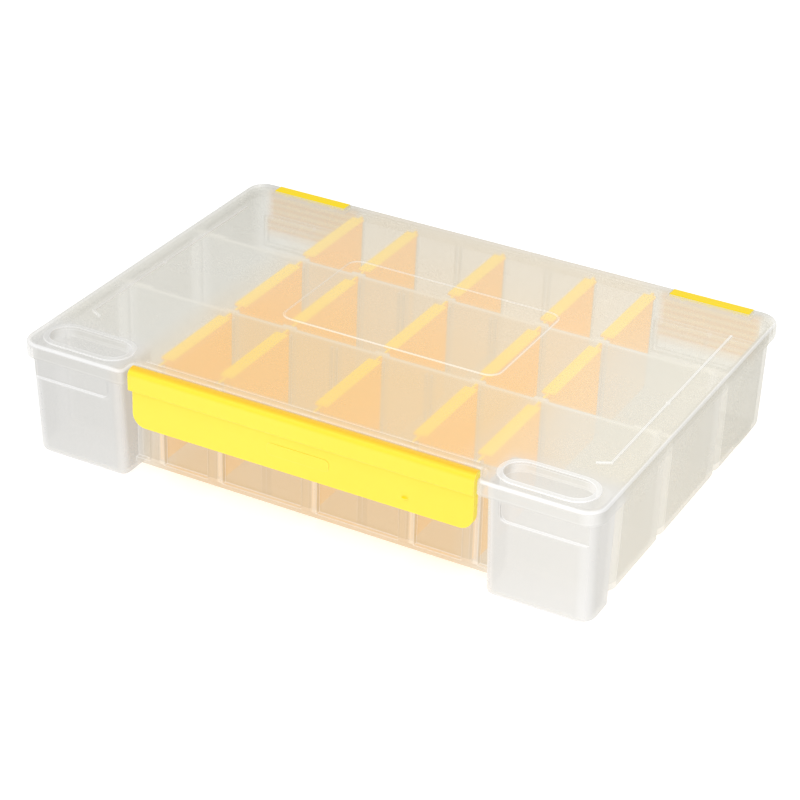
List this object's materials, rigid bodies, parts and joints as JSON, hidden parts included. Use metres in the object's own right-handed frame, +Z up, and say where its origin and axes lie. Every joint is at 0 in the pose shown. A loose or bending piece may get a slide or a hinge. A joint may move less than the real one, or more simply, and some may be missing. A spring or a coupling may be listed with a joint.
{
  "type": "fishing tackle box",
  "caption": "Shallow translucent tackle box with a hinged lid, full-width front latch, rear hinge clips and lift-out dividers forming small compartments.",
  "frame": {"origin": "centre of the footprint, on the ground plane under the feet", "axes": "+X to the right along the latch, +Y from the latch to the hinge clips, +Z up"},
  "size_m": [0.388, 0.28, 0.081],
  "materials": {
    "translucent_body": "milky translucent polypropylene, lightly satin with soft moulded edges",
    "yellow_plastic": "opaque bright yellow moulded plastic, fine satin",
    "divider_plastic": "warm amber yellow moulded plastic, satin"
  },
  "bodies": {
    "base": {"base_tray": "translucent_body", "divider_front_1": "divider_plastic", "divider_front_2": "divider_plastic", "divider_front_3": "divider_plastic", "divider_front_4": "divider_plastic", "divider_front_5": "divider_plastic", "divider_middle_1": "divider_plastic", "divider_middle_2": "divider_plastic", "divider_middle_3": "divider_plastic", "divider_middle_4": "divider_plastic", "divider_middle_5": "divider_plastic", "divider_rear_1": "divider_plastic", "divider_rear_2": "divider_plastic", "divider_rear_3": "divider_plastic", "divider_rear_4": "divider_plastic", "divider_rear_5": "divider_plastic"},
    "lid": {"lid": "translucent_body", "hinge_clip_left": "yellow_plastic", "hinge_clip_right": "yellow_plastic"},
    "latch": {"front_latch": "yellow_plastic"}
  },
  "joints": [
    {"name": "lid_hinge", "type": "hinge", "parent": "base", "child": "lid", "pos_m": [0, 0.1355, 0.051], "axis": [-1, 0, 0], "range_deg": [0, 160]},
    {"name": "latch_hinge", "type": "hinge", "parent": "lid", "child": "latch", "pos_m": [0, -0.131, 0.0763], "axis": [-1, 0, 0], "range_deg": [0, 100]}
  ]
}
